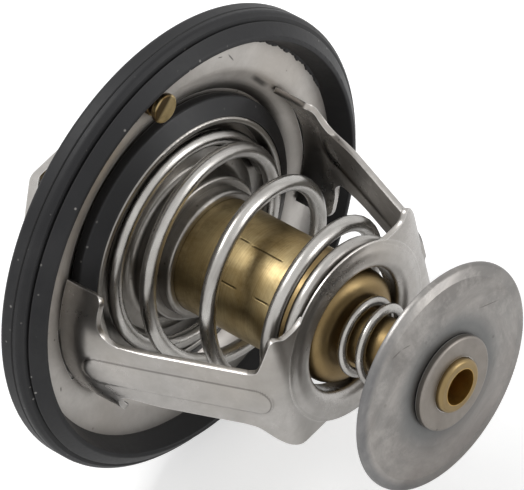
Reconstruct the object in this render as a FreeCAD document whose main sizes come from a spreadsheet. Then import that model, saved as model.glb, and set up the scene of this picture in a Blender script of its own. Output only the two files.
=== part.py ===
import FreeCAD, Part
import Sketcher
import math
import os
import re

# Engine thermostat with a rubber rimmed flange, wax element and bypass disc.
# +X runs along the axis from the flange to the bypass disc, the frame legs lie
# along Y, and +Z points up to the jiggle pin. The origin is on the axis, half
# way through the flange's sheet. All sizes are in millimetres and degrees.

SIZES = [
    ("port_radius", 19.2, "radius of the port that the valve closes"),
    ("port_lip", 1.6, "length of the lip turned forward round the port"),
    ("port_clearance", 0.9, "radial clearance between port and valve plate"),
    ("seal_width", 2.5, "radial width of the valve's rubber ring"),
    ("seal_edge", 1.6, "thickness of that ring at its outer edge"),
    ("seal_height", 2.85, "thickness of that ring at the plate's rim"),
    ("seal_room", 0.35, "room between that ring and the flange's slope"),
    ("recess_run", 2.35, "radial run of the flange's slope to the seat"),
    ("recess_depth", 2.0, "depth of the seat below the flange's face"),
    ("flange_sheet", 1.2, "thickness of the flange"),
    ("recess_round", 4.5, "bend radius between the flange's face and its slope"),
    ("foot_room", 0.55, "room between the slope and the frame's feet"),
    ("rim_room", 4.0, "bare flange between the feet and the rubber"),
    ("rim_face", 4.6, "radial width of the rubber rim"),
    ("rim_band_back", 1.4, "distance from the flange's middle to the band's edge by the spring"),
    ("rim_band_front", 1.5, "distance from the flange's middle to the band's other edge"),
    ("rim_parting", 0.45, "place of the parting groove along the axis"),
    ("rim_bead", 0.18, "depth of that groove"),
    ("rim_shoulder", 0.6, "fall from the band to the crease in front of the lip"),
    ("rim_crease", 2.15, "place of that crease along the axis"),
    ("rim_crease_depth", 1.35, "depth of that crease below the band"),
    ("rim_lip", 3.95, "height of the lip above the flange's middle"),
    ("rim_lip_inset", 1.3, "radial slope of the lip's inner wall"),
    ("rim_lip_width", 0.55, "width of the lip's top"),
    ("rim_lip_round", 0.5, "rounding of the lip's top"),
    ("rim_back", 2.9, "height of the rubber on the front side"),
    ("rim_back_slope", 2.1, "radial slope of the rubber on the front side"),
    ("rim_round", 0.7, "rounding of the band's corners"),
    ("rim_overlap", 2.2, "how far the flange reaches into the rubber"),
    ("slot_play", 0.1, "play of the frame tabs in their slots"),
    ("frame_sheet", 0.85, "thickness of the frame's sheet"),
    ("foot_height", 6.2, "height of a foot above the flange"),
    ("foot_long_angle", 31, "angle of a foot on its long side of the leg"),
    ("foot_short_angle", 24.5, "angle of a foot on its short side of the leg"),
    ("tab_angle", 11, "half angle of the tab under each foot"),
    ("tab_stake", 0.9, "length of the tab left proud and staked"),
    ("foot_sweep", 3.2, "radius of the sweep from a foot's top up into its leg"),
    ("foot_end_round", 1.0, "rounding of the feet's outer corners"),
    ("leg_width", 10.4, "width of a frame leg"),
    ("leg_bend", 3.6, "height above the flange where the leg starts to lean"),
    ("leg_lean", 19.3, "lean of the leg towards the axis"),
    ("leg_bend_round", 7, "bend radius between foot and leg"),
    ("rib_width", 4.9, "width of the rib pressed out along a leg"),
    ("rib_height", 0.3, "height of that rib"),
    ("rib_start", 3.2, "height above the flange where the rib starts"),
    ("rib_end", 3.7, "distance from the rib's end to the spring ring's face"),
    ("ring_face", 31.7, "outer face of the spring ring"),
    ("ring_step", 0.5, "step between the spring ring and its ears"),
    ("ring_room", 0.65, "radial room between ring and wax element"),
    ("ring_width", 4.2, "radial width of the spring ring"),
    ("ring_neck", 3.4, "length of the neck that centres the spring"),
    ("ring_neck_wall", 1.0, "wall of that neck"),
    ("ring_neck_round", 1.2, "rounding where the neck meets the ring"),
    ("ear_width", 20, "width across the ears at the ring's corners"),
    ("ear_inset", 1.1, "distance from a leg's corner to its ears' outer edge"),
    ("ear_round", 1.8, "rounding of the ears' outer corners"),
    ("ear_notch_round", 0.8, "tight inner rounding between a leg and its ears"),
    ("ear_notch_sweep", 2.8, "wide inner rounding on the leg's other side"),
    ("ear_blend_round", 3, "inner rounding between the ears and the ring"),
    ("corner_round", 4.6, "outer bend radius between ring and leg"),
    ("bridge_sheet", 1.2, "thickness of the front bridge"),
    ("bridge_width", 14.4, "width of the front bridge"),
    ("bridge_height", 20, "distance from the flange's middle to the bridge's top"),
    ("bridge_top", 7.0, "half length of the bridge's flat top"),
    ("bridge_lean", 2.2, "how far the bridge's knees lie inside its feet"),
    ("bridge_knee_height", 8.5, "distance from the flange's middle to those knees"),
    ("bridge_foot", 3.8, "length of the bridge's feet"),
    ("bridge_round", 3, "bend radius of the bridge's shoulders"),
    ("boss_radius", 3.6, "outer radius of the boss that holds the piston"),
    ("boss_height", 1.5, "height of that boss above the bridge"),
    ("piston_radius", 2.0, "radius of the piston"),
    ("piston_play", 0.05, "radial play of the piston in its guide"),
    ("piston_seat_depth", 2.1, "depth of the piston in the bridge"),
    ("plunger_length", 1.15, "length of the rubber plunger"),
    ("slip_sheet", 0.6, "thickness of the slip disc at the piston's end"),
    ("guide_room", 1.5, "room between the guide's nose and the bridge"),
    ("guide_wall", 1.1, "wall of the guide round the wiper seal"),
    ("wiper_wall", 1.1, "radial thickness of the wiper seal"),
    ("wiper_depth", 1.6, "depth of the wiper seal in the guide's nose"),
    ("crimp_step", 1.45, "radial step out to the element's crimped mouth"),
    ("crimp_length", 4.0, "length of the crimped mouth"),
    ("crimp_lip", 0.8, "thickness of the rolled lip"),
    ("crimp_lip_width", 3.3, "radial width of the rolled lip"),
    ("case_radius", 8.25, "outer radius of the wax element"),
    ("case_wall", 1.05, "wall of the wax element"),
    ("case_end", 31.6, "end face of the element that carries the bypass spring"),
    ("case_round", 2.7, "rounding of the element's shoulder"),
    ("case_end_wall", 4.6, "thickness of the element's end wall"),
    ("diaphragm_sheet", 1.0, "thickness of the diaphragm"),
    ("stem_radius", 3.9, "outer radius of the tubular stem"),
    ("stem_wall", 1.3, "wall of the stem"),
    ("stem_bore_depth", 9, "depth of the bore in the stem"),
    ("stem_proud", 0.9, "length of stem that stands out of the washer"),
    ("stem_round", 0.6, "rounding of the stem's end"),
    ("plate_sheet", 1.0, "thickness of the valve plate"),
    ("plate_rim", 3.4, "height of the valve plate's rim"),
    ("plate_floor", 1.7, "distance from the origin forward to the plate's face"),
    ("seat_gap", 0.1, "gap left between pieces that touch at rest"),
    ("press_gap", 0.05, "gap left between pressed round pieces"),
    ("collar_room", 1.5, "room between the collar's base and the main spring"),
    ("collar_sheet", 1.1, "thickness of the collar"),
    ("collar_step", 2.35, "radial step from the element out to the collar's neck"),
    ("collar_neck", 4.8, "height of the collar's neck above the plate"),
    ("collar_lip", 6.8, "height of the collar's lip above the plate"),
    ("spring_wire", 2.25, "wire of the main spring"),
    ("spring_base_play", 0.1, "radial play of the main spring in the valve plate"),
    ("spring_neck_play", 0.15, "radial play of the main spring on the ring's neck"),
    ("spring_taper", 1.0, "how early the spring's cone narrows, 1 for a straight cone"),
    ("spring_turns", 4.7, "turns of the main spring"),
    ("spring_first_turns", 0.95, "closed turns at the main spring's large end"),
    ("spring_last_turns", 1.45, "closed turns at the main spring's small end"),
    ("spring_growth", 0.25, "growth of the open pitch, 0 for an even pitch"),
    ("spring_phase", -2, "angle where the main spring's wire starts"),
    ("spring_gap", 0.1, "gap between a spring and its seats"),
    ("bypass_wire", 1.2, "wire of the bypass spring"),
    ("bypass_room", 0.9, "radial room between bypass spring and stem"),
    ("bypass_length", 14.8, "length of the bypass spring"),
    ("bypass_turns", 4.6, "turns of the bypass spring"),
    ("bypass_end_turns", 0.8, "closed turns at each end of the bypass spring"),
    ("bypass_phase", -45, "angle where the bypass spring's wire starts"),
    ("disc_radius", 16.35, "radius of the bypass disc"),
    ("disc_sheet", 1.0, "thickness of the bypass disc"),
    ("disc_flat_radius", 9.5, "radius of the bypass disc's flat middle"),
    ("disc_drop", 1.0, "how far the rim lies below the flat middle"),
    ("disc_rim_round", 0.45, "rounding of the bypass disc's rim"),
    ("disc_play", 0.08, "play of the bypass disc on the stem"),
    ("washer_width", 2.9, "radial width of the retaining washer"),
    ("washer_sheet", 1.0, "thickness of the retaining washer"),
    ("pin_inset", 2.85, "distance from the flange's dip to the jiggle pin"),
    ("pin_angle", 88.5, "angle of the jiggle pin from +Y"),
    ("pin_head_radius", 2.1, "radius of the jiggle pin's head"),
    ("pin_head", 0.9, "height of the jiggle pin's head"),
    ("pin_neck_radius", 1.15, "radius of the neck under the head"),
    ("pin_neck", 0.8, "height of that neck"),
    ("pin_collar_radius", 1.75, "radius of the collar that rests on the flange"),
    ("pin_collar", 0.7, "height of that collar"),
    ("pin_shank_radius", 0.95, "radius of the jiggle pin's shank"),
    ("pin_play", 0.35, "play of the shank in its hole"),
    ("pin_travel", 1.2, "free travel of the jiggle pin"),
    ("pin_weight_radius", 2.0, "radius of the jiggle pin's weight"),
]
ALIASES = {alias for alias, number, note in SIZES}

os.makedirs("parts", exist_ok=True)
doc = FreeCAD.newDocument("thermostat")
sheet = doc.addObject("Spreadsheet::Sheet", "sizes")
for row, (alias, number, note) in enumerate(SIZES, 1):
    sheet.set(f"A{row}", note)
    sheet.set(f"B{row}", str(number))
    sheet.setAlias(f"B{row}", alias)
doc.recompute()


# Expressions name the sheet's sizes by their aliases alone
def bound(expression):
    def full(word):
        return "sizes." + word.group() if word.group() in ALIASES else word.group()

    return re.sub(r"[a-z_]+", full, expression)


def value(expression):
    return float(sheet.evalExpression(expression))


# Radii that several pieces share, from the port outwards
PLATE_RADIUS = "(port_radius - port_clearance)"
PLATE_INSIDE = f"({PLATE_RADIUS} - plate_sheet)"
SEAL_RADIUS = f"({PLATE_RADIUS} + seal_width)"
SLOPE_END = f"({SEAL_RADIUS} + seal_room)"
RECESS_RADIUS = f"({SLOPE_END} + recess_run)"
FOOT_INSIDE = f"({RECESS_RADIUS} + foot_room)"
FOOT_RADIUS = f"({FOOT_INSIDE} + frame_sheet)"
RIM_INSIDE = f"({FOOT_RADIUS} + rim_room)"
RIM_RADIUS = f"({RIM_INSIDE} + rim_face)"
PIN_PLACE = f"({RECESS_RADIUS} + pin_inset)"

# Radii round the wax element, from the axis outwards
BORE_RADIUS = "(piston_radius + piston_play)"
WIPER_RADIUS = "(piston_radius + wiper_wall)"
GUIDE_RADIUS = f"({WIPER_RADIUS} + guide_wall)"
CORE_RADIUS = "(case_radius - case_wall)"
CRIMP_RADIUS = "(case_radius + crimp_step)"
CRIMP_INSIDE = f"({CRIMP_RADIUS} - case_wall)"
CASE_HOLE = "(case_radius + press_gap)"
COLLAR_NECK_RADIUS = "(case_radius + collar_step)"
RING_HOLE = "(case_radius + ring_room)"
RING_RADIUS = f"({RING_HOLE} + ring_width)"
NECK_RADIUS = f"({RING_HOLE} + ring_neck_wall)"
SPRING_BASE = f"({PLATE_INSIDE} - spring_base_play - spring_wire / 2)"
SPRING_TOP = f"({NECK_RADIUS} + spring_neck_play + spring_wire / 2)"
COLLAR_BASE = f"({SPRING_BASE} - spring_wire / 2 - collar_room)"

# Places along the axis, counted from the origin
FLANGE_BACK = "(flange_sheet / 2)"
FLANGE_FRONT = "(-flange_sheet / 2)"
SEAT = f"({FLANGE_BACK} - recess_depth)"
FLOOR_BACK = "(plate_sheet - plate_floor)"
FLOOR_FRONT = "(-plate_floor)"
CRIMP_FRONT = f"({FLOOR_FRONT} - crimp_length)"
DIAPHRAGM_BACK = f"({FLOOR_FRONT} - case_wall)"
DIAPHRAGM_FRONT = f"({DIAPHRAGM_BACK} - diaphragm_sheet)"
PLUNGER_END = f"({DIAPHRAGM_FRONT} - seat_gap)"
SLIP_END = f"({PLUNGER_END} - plunger_length)"
PISTON_END = f"({SLIP_END} - slip_sheet)"
BRIDGE_BACK = "(bridge_sheet - bridge_height)"
GUIDE_NOSE = f"({BRIDGE_BACK} + guide_room)"
WAX_END = "(case_end - case_end_wall)"
RING_BACK = "(ring_face - frame_sheet)"
EAR_FACE = "(ring_face - ring_step)"
BEND = f"({FLANGE_BACK} + leg_bend)"
DISC_FRONT = "(case_end + bypass_length)"
DISC_BACK = f"({DISC_FRONT} + disc_sheet)"
WASHER_FRONT = f"({DISC_BACK} + seat_gap)"
WASHER_BACK = f"({WASHER_FRONT} + washer_sheet)"
STEM_END = f"({WASHER_BACK} + stem_proud)"
PIN_HEAD = f"({FLANGE_BACK} + seat_gap)"

# Two lengths closer than this are the same place
CLOSE = 0.02


# Sketches and features
def new_body(label):
    body = doc.addObject("PartDesign::Body", label)
    body.Label = label
    return body


def plane_of(body, role):
    for feature in body.Origin.OriginFeatures:
        if feature.Role == role:
            return feature


def outline(body, label, role, *loops):
    """A sketch of closed outlines, each a list of corners given as expressions."""
    sketch = body.newObject("Sketcher::SketchObject", label)
    sketch.AttachmentSupport = (plane_of(body, role), [""])
    sketch.MapMode = "FlatFace"
    for corners in loops:
        first = sketch.GeometryCount
        count = len(corners)
        points = [FreeCAD.Vector(value(across), value(up), 0) for across, up in corners]
        for index in range(count):
            sketch.addGeometry(Part.LineSegment(points[index], points[(index + 1) % count]))
        for index in range(count):
            after = first + (index + 1) % count
            sketch.addConstraint(Sketcher.Constraint("Coincident", first + index, 2, after, 1))
        for index, (across, up) in enumerate(corners):
            for kind, expression in (("DistanceX", across), ("DistanceY", up)):
                rule = Sketcher.Constraint(kind, -1, 1, first + index, 1, value(expression))
                number = sketch.addConstraint(rule)
                sketch.setExpression(f"Constraints[{number}]", bound(expression))
    return sketch


def circle(body, label, role, across, up, radius):
    sketch = body.newObject("Sketcher::SketchObject", label)
    sketch.AttachmentSupport = (plane_of(body, role), [""])
    sketch.MapMode = "FlatFace"
    centre = FreeCAD.Vector(value(across), value(up), 0)
    sketch.addGeometry(Part.Circle(centre, FreeCAD.Vector(0, 0, 1), value(radius)))
    rules = (
        (Sketcher.Constraint("DistanceX", -1, 1, 0, 3, centre.x), across),
        (Sketcher.Constraint("DistanceY", -1, 1, 0, 3, centre.y), up),
        (Sketcher.Constraint("Radius", 0, value(radius)), radius),
    )
    for rule, expression in rules:
        number = sketch.addConstraint(rule)
        sketch.setExpression(f"Constraints[{number}]", bound(expression))
    return sketch


def turned(body, sketch, kind="Revolution", plus=None, minus=None):
    """Turns a sketch about the axis, all round or by an angle each way."""
    feature = body.newObject(f"PartDesign::{kind}", sketch.Label + "_turned")
    feature.Profile = sketch
    feature.ReferenceAxis = (sketch, ["H_Axis"])
    if plus is None:
        feature.Angle = 360
    else:
        feature.Type = "TwoAngles"
        feature.setExpression("Angle", bound(plus))
        feature.setExpression("Angle2", bound(minus))
    sketch.Visibility = False
    doc.recompute()
    return feature


def extruded(body, sketch, length, kind="Pad", midplane=False, reversed_way=False):
    feature = body.newObject(f"PartDesign::{kind}", sketch.Label + "_extruded")
    feature.Profile = sketch
    feature.setExpression("Length", bound(length))
    feature.Midplane = midplane
    feature.Reversed = reversed_way
    doc.recompute()
    return feature


def rounded(body, radius, chosen, kind="Fillet", setting="Radius"):
    """Rounds or chamfers the edges of the body's last feature that chosen() picks."""
    base = body.Tip
    names = [f"Edge{n}" for n, edge in enumerate(base.Shape.Edges, 1) if chosen(edge)]
    feature = body.newObject(f"PartDesign::{kind}", f"{body.Label}_{kind.lower()}_{len(body.Group)}")
    feature.Base = (base, names)
    feature.setExpression(setting, bound(radius))
    doc.recompute()
    return feature


def ring_edge(*places):
    """Picks the circles about the axis at the given (along, radius) places."""
    wanted = [(value(along), value(radius)) for along, radius in places]

    def chosen(edge):
        if not isinstance(edge.Curve, Part.Circle):
            return False
        along, radius = edge.Curve.Center.x, edge.Curve.Radius
        return any(math.dist((along, radius), place) < CLOSE for place in wanted)

    return chosen


def cross_edge(*places):
    """Picks the straight edges along Z at the given (along, out) places, on both sides."""
    wanted = [(value(along), value(out)) for along, out in places]

    def chosen(edge):
        ends = [vertex.Point for vertex in edge.Vertexes]
        if len(ends) < 2 or math.dist(ends[0][:2], ends[1][:2]) > CLOSE:
            return False
        here = (ends[0].x, abs(ends[0].y))
        return any(math.dist(here, place) < CLOSE for place in wanted)

    return chosen


def corner_edge(*places, hand=0):
    """Picks the straight edges along X at the given (across, up) places, on all sides.

    With a hand of 1 or -1, only those where across times up has that sign.
    """
    wanted = [(value(across), value(up)) for across, up in places]

    def chosen(edge):
        ends = [vertex.Point for vertex in edge.Vertexes]
        if len(ends) < 2 or math.dist(ends[0][1:], ends[1][1:]) > CLOSE:
            return False
        here = (abs(ends[0].y), abs(ends[0].z))
        if hand * ends[0].y * ends[0].z < 0:
            return False
        return any(math.dist(here, place) < CLOSE for place in wanted)

    return chosen


def rib_corner(half_width, height):
    """Picks the short edges that stand square on the legs at the corners of their ribs."""
    side, tall = value(half_width), value(height)

    def chosen(edge):
        ends = [vertex.Point for vertex in edge.Vertexes]
        if len(ends) < 2 or abs(edge.Length - tall) > CLOSE:
            return False
        return all(abs(abs(end.z) - side) < CLOSE for end in ends)

    return chosen


def end_edge(along, half_width):
    """Picks the short edges across the sheet at a place along X, further out than a half width."""
    place, side = value(along), value(half_width)

    def chosen(edge):
        ends = [vertex.Point for vertex in edge.Vertexes]
        if len(ends) < 2 or edge.Length > 2 * value("frame_sheet"):
            return False
        return all(abs(end.x - place) < CLOSE and abs(end.z) > side + CLOSE for end in ends)

    return chosen


def revolved_piece(label, *loops):
    body = new_body(label)
    sketch = outline(body, label + "_section", "XY_Plane", *loops)
    turned(body, sketch)
    return body


# Rubber rim, moulded round the edge of the flange
def make_rim_seal():
    edge = f"({RIM_INSIDE} + rim_overlap + press_gap)"
    lip = f"({RIM_INSIDE} + rim_lip_inset)"
    slope = f"({RIM_RADIUS} - rim_back_slope)"
    body = revolved_piece("rim_seal", [
        ("-rim_back", RIM_INSIDE), ("-rim_back", slope), ("-rim_band_front", RIM_RADIUS),
        ("rim_parting - rim_bead", RIM_RADIUS), ("rim_parting", f"{RIM_RADIUS} - rim_bead"),
        ("rim_parting + rim_bead", RIM_RADIUS), ("rim_band_back", RIM_RADIUS),
        ("rim_band_back + rim_shoulder", f"{RIM_RADIUS} - rim_shoulder"),
        ("rim_crease", f"{RIM_RADIUS} - rim_crease_depth"),
        ("rim_crease + rim_shoulder / 2", f"{RIM_RADIUS} - rim_crease_depth + rim_shoulder / 3"),
        ("rim_lip", f"{lip} + rim_lip_width"), ("rim_lip", lip), (FLANGE_BACK, RIM_INSIDE),
        (FLANGE_BACK, edge), (FLANGE_FRONT, edge), (FLANGE_FRONT, RIM_INSIDE),
    ])
    rounded(body, "rim_round", ring_edge(("-rim_band_front", RIM_RADIUS), ("-rim_back", slope)))
    rounded(body, "rim_round", ring_edge(("rim_band_back", RIM_RADIUS)))
    rounded(body, "rim_lip_round", ring_edge(("rim_lip", f"{lip} + rim_lip_width")))
    rounded(body, "rim_lip_round / 2", ring_edge(("rim_lip", lip), ("-rim_back", RIM_INSIDE)))


# Flange with the valve seat, the slots for the frame's tabs and the pin's hole
def make_flange():
    reach = f"{RIM_INSIDE} + rim_overlap"
    seat_front = f"({SEAT} - flange_sheet)"
    body = revolved_piece("flange", [
        (FLANGE_FRONT, reach), (FLANGE_BACK, reach), (FLANGE_BACK, RECESS_RADIUS),
        (SEAT, SLOPE_END), (SEAT, "port_radius"), (f"{seat_front} - port_lip", "port_radius"),
        (f"{seat_front} - port_lip", "port_radius + flange_sheet"),
        (seat_front, "port_radius + flange_sheet"), (seat_front, f"{SLOPE_END} + 0.5 * flange_sheet"),
        (FLANGE_FRONT, f"{RECESS_RADIUS} + 0.5 * flange_sheet"),
    ])
    rounded(body, "flange_sheet / 2", ring_edge((SEAT, "port_radius")))
    rounded(body, "recess_round", ring_edge((FLANGE_BACK, RECESS_RADIUS)))
    slots = outline(body, "slots", "XY_Plane", *[[
        ("-flange_sheet", f"{side} * ({FOOT_INSIDE} - slot_play)"),
        ("flange_sheet", f"{side} * ({FOOT_INSIDE} - slot_play)"),
        ("flange_sheet", f"{side} * ({FOOT_RADIUS} + slot_play)"),
        ("-flange_sheet", f"{side} * ({FOOT_RADIUS} + slot_play)"),
    ] for side in ("1", "-1")])
    turned(body, slots, "Groove", "tab_angle + 0.5", "tab_angle + 0.5")
    hole = circle(body, "pin_hole", "YZ_Plane", f"{PIN_PLACE} * cos(pin_angle * 1 deg)",
                  f"{PIN_PLACE} * sin(pin_angle * 1 deg)", "pin_shank_radius + pin_play")
    extruded(body, hole, "8 * flange_sheet", "Pocket", midplane=True)


# Frame: one stamping with two curved feet, two ribbed legs and the spring ring
def make_lower_frame():
    lean = "tan(leg_lean * 1 deg)"
    skin = "(frame_sheet / cos(leg_lean * 1 deg))"
    corner = f"({FOOT_RADIUS} - {lean} * ({EAR_FACE} - {BEND}))"
    ear_reach = f"({corner} - ear_inset)"

    plan = new_body("frame_plan")
    for name, reach, width in (("ears", ear_reach, "ear_width"), ("legs", f"2 * {FOOT_RADIUS}", "leg_width")):
        strip = outline(plan, name, "YZ_Plane", [
            (f"-{reach}", f"-{width} / 2"), (reach, f"-{width} / 2"),
            (reach, f"{width} / 2"), (f"-{reach}", f"{width} / 2"),
        ])
        extruded(plan, strip, "2 * ring_face", midplane=True)
    disc = circle(plan, "disc", "YZ_Plane", "0", "0", RING_RADIUS)
    extruded(plan, disc, "2 * ring_face", midplane=True)
    crossing = f"sqrt({RING_RADIUS} ^ 2 - (ear_width / 2) ^ 2)"
    rounded(plan, "ear_round", corner_edge((ear_reach, "ear_width / 2")))
    rounded(plan, "ear_notch_round", corner_edge((ear_reach, "leg_width / 2"), hand=-1))
    rounded(plan, "ear_notch_sweep", corner_edge((ear_reach, "leg_width / 2"), hand=1))
    rounded(plan, "ear_blend_round", corner_edge((crossing, "ear_width / 2")))

    body = new_body("lower_frame")
    inner_bend = f"({BEND} + (frame_sheet - {skin}) / {lean})"
    ear_back = f"({EAR_FACE} - frame_sheet)"
    inner_corner = f"({FOOT_RADIUS} - {lean} * ({ear_back} - {BEND}) - {skin})"
    outside = [(FLANGE_BACK, FOOT_RADIUS), (BEND, FOOT_RADIUS), (EAR_FACE, corner)]
    inside = [(ear_back, inner_corner), (inner_bend, FOOT_INSIDE), (FLANGE_BACK, FOOT_INSIDE)]
    mirrored = [(along, f"-({out})") for along, out in reversed(outside)]
    inner_mirrored = [(along, f"-({out})") for along, out in reversed(inside)]
    strap = outline(body, "strap", "XY_Plane", outside + mirrored + inner_mirrored + inside)
    extruded(body, strap, f"2.2 * {RING_RADIUS}", midplane=True)
    rounded(body, "corner_round", cross_edge((EAR_FACE, corner)))
    rounded(body, "corner_round - frame_sheet", cross_edge((ear_back, inner_corner)))
    rounded(body, "leg_bend_round", cross_edge((BEND, FOOT_RADIUS)))
    rounded(body, "leg_bend_round - frame_sheet", cross_edge((inner_bend, FOOT_INSIDE)))
    cut = body.newObject("PartDesign::Boolean", "cut_to_plan")
    cut.Type = "Common"
    cut.setObjects([plan])
    doc.recompute()

    # a long rib with round ends is pressed out along each leg
    start = f"({FLANGE_BACK} + rib_start)"
    end = "(ring_face - rib_end)"

    def on_leg(along, side, height):
        """A point of the leg's outer face, raised by a height square to it."""
        out = f"({FOOT_RADIUS} - {lean} * ({along} - {BEND}))"
        return (f"{along} + ({height}) * sin(leg_lean * 1 deg)",
                f"{side} * ({out} + ({height}) * cos(leg_lean * 1 deg))")

    for side, name in (("1", "rib"), ("-1", "far_rib")):
        low, high = "-frame_sheet / 2", "rib_height"
        rib = outline(body, name, "XY_Plane", [
            on_leg(start, side, low), on_leg(end, side, low), on_leg(end, side, high), on_leg(start, side, high),
        ])
        extruded(body, rib, "rib_width", midplane=True)
        low, high = "-1.5 * frame_sheet", "rib_height - frame_sheet"
        groove = outline(body, name + "_inside", "XY_Plane", [
            on_leg(start, side, low), on_leg(end, side, low), on_leg(end, side, high), on_leg(start, side, high),
        ])
        extruded(body, groove, "rib_width - frame_sheet", "Pocket", midplane=True)
    rounded(body, "0.48 * rib_width", rib_corner("rib_width / 2", "rib_height"))

    # spring ring with its neck, raised a little above the ears
    opening = circle(body, "opening", "YZ_Plane", "0", "0", f"{RING_RADIUS} - frame_sheet / 2")
    extruded(body, opening, "3 * ring_face", "Pocket", midplane=True)
    ring = outline(body, "ring", "XY_Plane", [
        (RING_BACK, RING_RADIUS), ("ring_face", RING_RADIUS), ("ring_face", RING_HOLE),
        ("ring_face - ring_neck", RING_HOLE), ("ring_face - ring_neck", NECK_RADIUS),
        (RING_BACK, NECK_RADIUS),
    ])
    turned(body, ring)
    rounded(body, "ring_neck_round", ring_edge(("ring_face", RING_HOLE)))
    rounded(body, "ring_step / 2", ring_edge(("ring_face", RING_RADIUS)))

    # curved feet with the tabs that pass through the flange
    foot_top = f"{FLANGE_BACK} + foot_height"
    sweep_top = f"({foot_top} + foot_sweep)"
    top_radius = f"({FOOT_RADIUS} - {lean} * ({sweep_top} - {BEND}))"
    feet = outline(body, "feet", "XY_Plane", *[[
        (FLANGE_BACK, f"{side} * {FOOT_INSIDE}"), (inner_bend, f"{side} * {FOOT_INSIDE}"),
        (sweep_top, f"{side} * ({top_radius} - {skin})"), (sweep_top, f"{side} * {top_radius}"),
        (BEND, f"{side} * {FOOT_RADIUS}"), (FLANGE_BACK, f"{side} * {FOOT_RADIUS}"),
    ] for side in ("1", "-1")])
    turned(body, feet, "Revolution", "foot_short_angle", "foot_long_angle")
    trim = outline(body, "feet_trim", "XZ_Plane", *[[
        *[(f"{sweep_top} - foot_sweep * sin({angle} * 1 deg)",
           f"{side} * (leg_width / 2 + foot_sweep * (1 - cos({angle} * 1 deg)))") for angle in range(0, 91, 15)],
        (foot_top, f"{side} * 2 * {FOOT_RADIUS}"), (f"{sweep_top} + foot_sweep", f"{side} * 2 * {FOOT_RADIUS}"),
        (f"{sweep_top} + foot_sweep", f"{side} * leg_width / 2"),
    ] for side in ("1", "-1")])
    extruded(body, trim, f"4 * {FOOT_RADIUS}", "Pocket", midplane=True)
    rounded(body, "foot_end_round", end_edge(foot_top, "leg_width / 2 + foot_sweep"))
    tab_end = f"({FLANGE_FRONT} - bridge_sheet - tab_stake)"
    tab_root = f"({FLANGE_BACK} + frame_sheet)"
    tabs = outline(body, "tabs", "XY_Plane", *[[
        (tab_end, f"{side} * {FOOT_INSIDE}"), (tab_root, f"{side} * {FOOT_INSIDE}"),
        (tab_root, f"{side} * {FOOT_RADIUS}"), (tab_end, f"{side} * {FOOT_RADIUS}"),
    ] for side in ("1", "-1")])
    turned(body, tabs, "Revolution", "tab_angle", "tab_angle")


# Front bridge: a bent strap, its feet clamped by the frame's staked tabs
def make_front_bridge():
    body = new_body("front_bridge")
    foot_back = FLANGE_FRONT
    foot_front = f"({FLANGE_FRONT} - bridge_sheet)"
    foot_start = f"({FOOT_INSIDE} + 0.3 * bridge_sheet)"
    knee = f"({foot_start} - bridge_lean)"
    knee_back = "(0.45 * bridge_sheet - bridge_knee_height)"
    inner_knee = f"({knee} - 1.05 * bridge_sheet)"
    outer = [(foot_back, f"{foot_start} + bridge_foot"), (foot_front, f"{foot_start} + bridge_foot"),
             (foot_front, f"{foot_start} + bridge_sheet"), ("-bridge_knee_height", knee),
             ("-bridge_height", "bridge_top")]
    mirrored = [(along, f"-({out})") for along, out in reversed(outer)]
    inner = [(foot_back, f"-{foot_start}"), (knee_back, f"-{inner_knee}"),
             (BRIDGE_BACK, "-(bridge_top - bridge_sheet / 2)"), (BRIDGE_BACK, "bridge_top - bridge_sheet / 2"),
             (knee_back, inner_knee), (foot_back, foot_start)]
    strap = outline(body, "strap", "XY_Plane", outer + mirrored + inner)
    extruded(body, strap, "bridge_width", midplane=True)
    rounded(body, "bridge_round", cross_edge(("-bridge_height", "bridge_top")))
    rounded(body, "bridge_round - bridge_sheet", cross_edge((BRIDGE_BACK, "bridge_top - bridge_sheet / 2")))
    rounded(body, "bridge_round", cross_edge(("-bridge_knee_height", knee)))
    rounded(body, "bridge_round - bridge_sheet", cross_edge((knee_back, inner_knee)))
    boss = outline(body, "boss", "XY_Plane", [
        (BRIDGE_BACK, "0"), ("-bridge_height - boss_height", "0"),
        ("-bridge_height - boss_height", "boss_radius"), (BRIDGE_BACK, "boss_radius"),
    ])
    turned(body, boss)
    rounded(body, "boss_height / 2", ring_edge(("-bridge_height - boss_height", "boss_radius")))
    seat = outline(body, "piston_seat", "XY_Plane", [
        (f"{BRIDGE_BACK} - piston_seat_depth", "0"), (f"{BRIDGE_BACK} + 1", "0"),
        (f"{BRIDGE_BACK} + 1", "piston_radius + press_gap"),
        (f"{BRIDGE_BACK} - piston_seat_depth", "piston_radius + press_gap"),
    ])
    turned(body, seat, "Groove")
    slots = outline(body, "bridge_slots", "XY_Plane", *[[
        ("-3 * bridge_sheet", f"{side} * ({FOOT_INSIDE} - slot_play)"),
        ("0", f"{side} * ({FOOT_INSIDE} - slot_play)"),
        ("0", f"{side} * ({FOOT_RADIUS} + slot_play)"),
        ("-3 * bridge_sheet", f"{side} * ({FOOT_RADIUS} + slot_play)"),
    ] for side in ("1", "-1")])
    turned(body, slots, "Groove", "tab_angle + 0.5", "tab_angle + 0.5")


def make_piston():
    body = revolved_piece("piston", [
        (f"{BRIDGE_BACK} - piston_seat_depth", "0"), (f"{BRIDGE_BACK} - piston_seat_depth", "piston_radius"),
        (PISTON_END, "piston_radius"), (PISTON_END, "0"),
    ])
    ends = ring_edge((f"{BRIDGE_BACK} - piston_seat_depth", "piston_radius"), (PISTON_END, "piston_radius"))
    rounded(body, "piston_radius / 5", ends, "Chamfer", "Size")


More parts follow.
